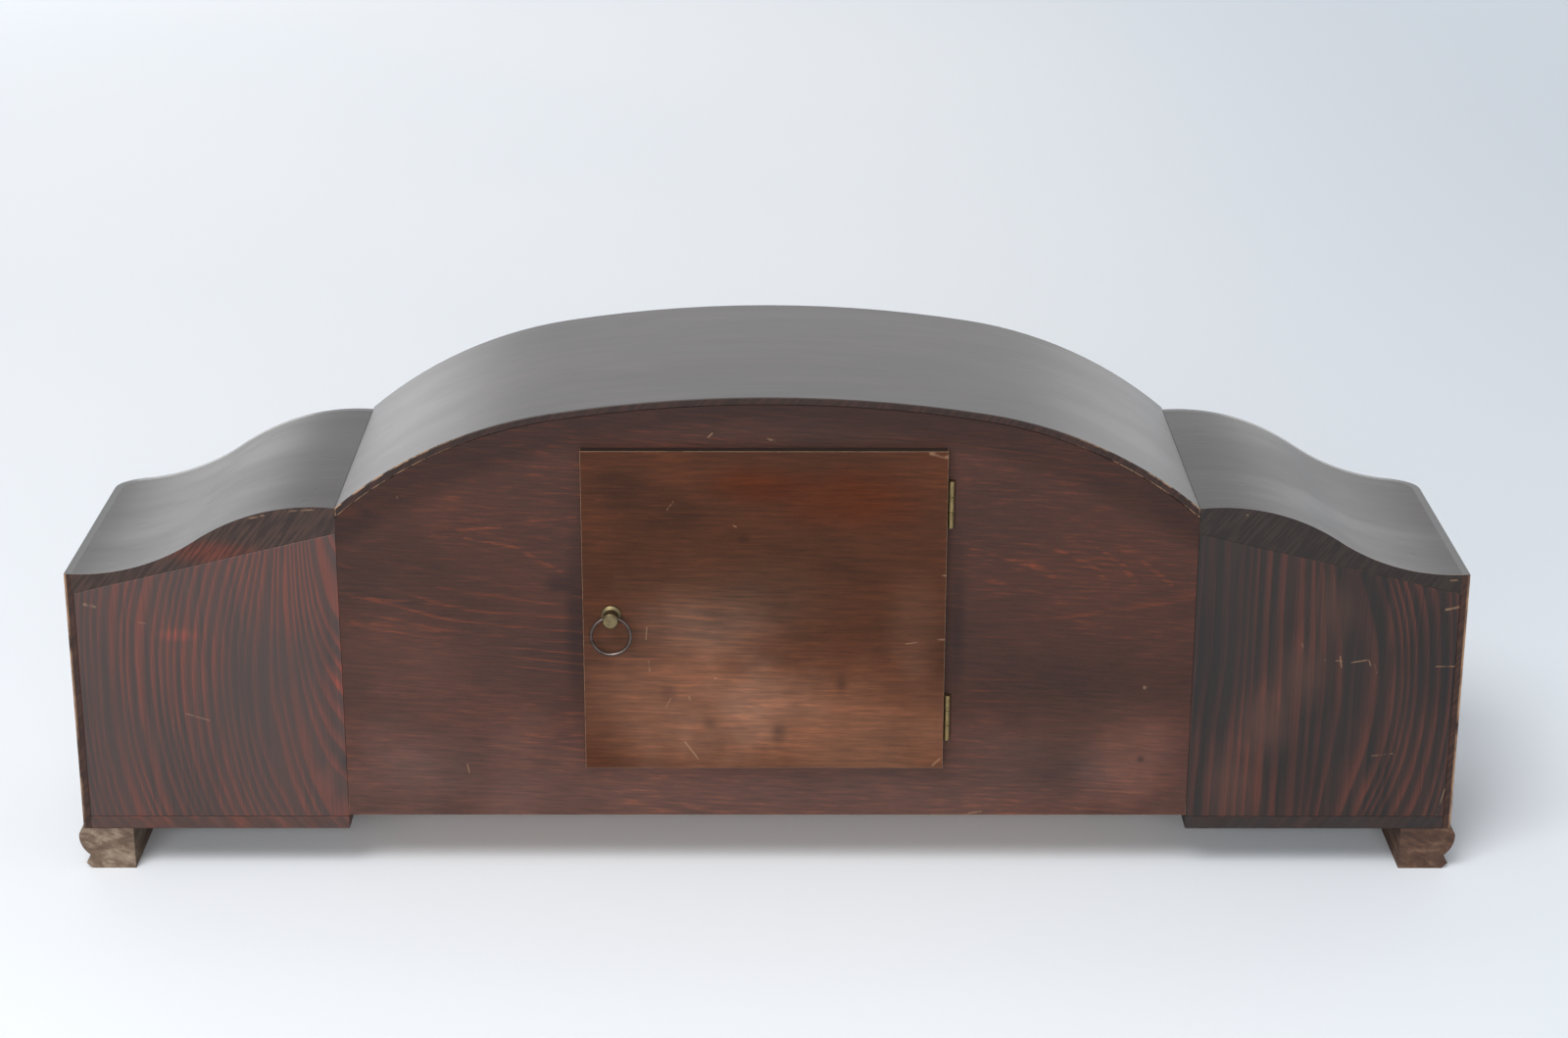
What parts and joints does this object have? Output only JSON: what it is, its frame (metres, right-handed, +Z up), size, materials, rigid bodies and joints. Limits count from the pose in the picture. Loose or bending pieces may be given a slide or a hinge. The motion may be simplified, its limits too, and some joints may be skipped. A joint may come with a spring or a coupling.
{
  "type": "clock",
  "caption": "Long wooden mantel clock with arched centre, shouldered end boxes, hinged rear door with ring latch, hinged glazed bezel and a striking pendulum movement",
  "frame": {"origin": "centre of the footprint, on the surface that the feet stand on", "axes": "+X to the right of someone facing the dial, +Y towards the rear door, +Z up"},
  "size_m": [0.726, 0.2012, 0.261],
  "materials": {
    "dark_lacquer": "satin",
    "stained_ply": "satin",
    "bare_wood": "matte",
    "foot_wood": "matte",
    "aged_brass": "satin",
    "clean_brass": "polished",
    "dark_steel": "satin",
    "plain_steel": "satin",
    "blued_steel": "polished",
    "dial_paint": "satin",
    "clear_glass": "polished",
    "cast_block": "matte"
  },
  "bodies": {
    "case": {"arch_roof": "dark_lacquer", "left_wrap": "dark_lacquer", "right_wrap": "dark_lacquer", "left_shoulder": "dark_lacquer", "right_shoulder": "dark_lacquer", "front_panel": "dark_lacquer", "back_panel": "stained_ply", "left_box_back": "stained_ply", "right_box_back": "stained_ply", "partitions": "bare_wood", "centre_base": "bare_wood", "left_base": "bare_wood", "right_base": "bare_wood", "left_foot": "foot_wood", "right_foot": "foot_wood", "hinge_frame_leaves": "aged_brass", "hinge_pins": "aged_brass", "bezel_hinge": "clean_brass", "front_plate": "clean_brass", "back_plate": "clean_brass", "suspension_cock": "clean_brass", "case_screws": "plain_steel", "pillars": "plain_steel", "pillar_nuts": "plain_steel", "movement_legs": "plain_steel", "gong_rods": "plain_steel", "dial": "dial_paint", "gong_block": "cast_block"},
    "door": {"rear_door": "stained_ply", "hinge_door_leaves": "aged_brass", "hinge_door_screws": "aged_brass"},
    "latch": {"latch_spindle": "aged_brass", "latch_tongue": "dark_steel"},
    "ring": {"pull_ring": "dark_steel"},
    "bezel_door": {"bezel": "clean_brass", "bezel_glass": "clear_glass"},
    "centre": {"centre_wheel": "clean_brass", "cannon_pinion": "clean_brass", "minute_hand": "blued_steel", "hand_nut": "clean_brass"},
    "hour_work": {"hour_wheel": "clean_brass", "hour_hand": "blued_steel"},
    "minute_work": {"minute_wheel": "clean_brass"},
    "intermediate": {"intermediate_wheel": "clean_brass"},
    "going_drum": {"going_barrel": "clean_brass", "going_mainspring": "plain_steel"},
    "going_winder": {"going_arbor": "plain_steel"},
    "third": {"third_wheel": "clean_brass"},
    "escape": {"escape_wheel": "clean_brass"},
    "rocker": {"anchor": "plain_steel"},
    "pendulum": {"pendulum_rod": "plain_steel", "pendulum_bob": "clean_brass", "rating_nut": "clean_brass"},
    "strike_drum": {"strike_barrel": "clean_brass", "strike_mainspring": "plain_steel"},
    "strike_winder": {"strike_arbor": "plain_steel"},
    "second": {"second_wheel": "clean_brass"},
    "lifting": {"pin_wheel": "clean_brass"},
    "fly": {"strike_fly": "clean_brass"},
    "striker": {"hammers": "clean_brass"}
  },
  "joints": [
    {"name": "rear_door_hinge", "type": "hinge", "parent": "case", "child": "door", "pos_m": [-0.093, 0.08565, 0.1466], "axis": [0, 0, 1], "range_deg": [0, 110]},
    {"name": "latch_turn", "type": "hinge", "parent": "door", "child": "latch", "pos_m": [0.08, 0.0875, 0.1466], "axis": [0, 1, 0], "range_deg": [0, 90]},
    {"name": "ring_swing", "type": "hinge", "parent": "latch", "child": "ring", "pos_m": [0.08, 0.09745, 0.1476], "axis": [1, 0, 0], "range_deg": [-10, 100]},
    {"name": "bezel_swing", "type": "hinge", "parent": "case", "child": "bezel_door", "pos_m": [-0.103, -0.08785, 0.145], "axis": [0, 0, -1], "range_deg": [0, 110]},
    {"name": "third_spin", "type": "hinge", "parent": "case", "child": "third", "pos_m": [-0.00339, -0.04, 0.1642], "axis": [0, 1, 0], "continuous": true},
    {"name": "centre_spin", "type": "hinge", "parent": "case", "child": "centre", "pos_m": [0, -0.04, 0.145], "axis": [0, 1, 0], "continuous": true},
    {"name": "escape_spin", "type": "hinge", "parent": "case", "child": "escape", "pos_m": [0, -0.04, 0.17943], "axis": [0, 1, 0], "continuous": true},
    {"name": "intermediate_spin", "type": "hinge", "parent": "case", "child": "intermediate", "pos_m": [0.02049, -0.04, 0.14042], "axis": [0, 1, 0], "continuous": true},
    {"name": "going_barrel_spin", "type": "hinge", "parent": "case", "child": "going_drum", "pos_m": [0.03201, -0.04, 0.11801], "axis": [0, 1, 0], "continuous": true},
    {"name": "minute_wheel_spin", "type": "hinge", "parent": "case", "child": "minute_work", "pos_m": [0, -0.04, 0.16], "axis": [0, 1, 0], "continuous": true},
    {"name": "hour_hand_spin", "type": "hinge", "parent": "case", "child": "hour_work", "pos_m": [0, -0.04, 0.145], "axis": [0, 1, 0], "continuous": true},
    {"name": "going_wind", "type": "hinge", "parent": "case", "child": "going_winder", "pos_m": [0.03201, -0.04, 0.11801], "axis": [0, 1, 0], "continuous": true},
    {"name": "pin_wheel_spin", "type": "hinge", "parent": "case", "child": "lifting", "pos_m": [-0.03254, -0.04, 0.15762], "axis": [0, 1, 0], "continuous": true},
    {"name": "second_wheel_spin", "type": "hinge", "parent": "case", "child": "second", "pos_m": [-0.02049, -0.04, 0.14042], "axis": [0, 1, 0], "continuous": true},
    {"name": "strike_barrel_spin", "type": "hinge", "parent": "case", "child": "strike_drum", "pos_m": [-0.03201, -0.04, 0.11801], "axis": [0, 1, 0], "continuous": true},
    {"name": "fly_spin", "type": "hinge", "parent": "case", "child": "fly", "pos_m": [-0.0272, -0.04, 0.17228], "axis": [0, 1, 0], "continuous": true},
    {"name": "strike_wind", "type": "hinge", "parent": "case", "child": "strike_winder", "pos_m": [-0.03201, -0.04, 0.11801], "axis": [0, 1, 0], "continuous": true},
    {"name": "pendulum_swing", "type": "hinge", "parent": "case", "child": "pendulum", "pos_m": [0, 0.00815, 0.19593], "axis": [0, 1, 0], "range_deg": [-4, 4]},
    {"name": "anchor_rock", "type": "hinge", "parent": "case", "child": "rocker", "pos_m": [0, -0.04, 0.19593], "axis": [0, 1, 0], "range_deg": [-4, 4]},
    {"name": "hammer_lift", "type": "hinge", "parent": "case", "child": "striker", "pos_m": [0, -0.04, 0.098], "axis": [0, -1, 0], "range_deg": [0, 15]}
  ],
  "couplings": [
    {"joint": "centre_spin", "follows": "third_spin", "ratio": -0.083333},
    {"joint": "escape_spin", "follows": "third_spin", "ratio": -12},
    {"joint": "intermediate_spin", "follows": "third_spin", "ratio": 0.013889},
    {"joint": "going_barrel_spin", "follows": "third_spin", "ratio": -0.0023148},
    {"joint": "minute_wheel_spin", "follows": "third_spin", "ratio": 0.027778},
    {"joint": "hour_hand_spin", "follows": "third_spin", "ratio": -0.0069444},
    {"joint": "second_wheel_spin", "follows": "pin_wheel_spin", "ratio": -0.16667},
    {"joint": "strike_barrel_spin", "follows": "pin_wheel_spin", "ratio": 0.027778},
    {"joint": "fly_spin", "follows": "pin_wheel_spin", "ratio": -12},
    {"joint": "anchor_rock", "follows": "pendulum_swing", "ratio": 1}
  ]
}
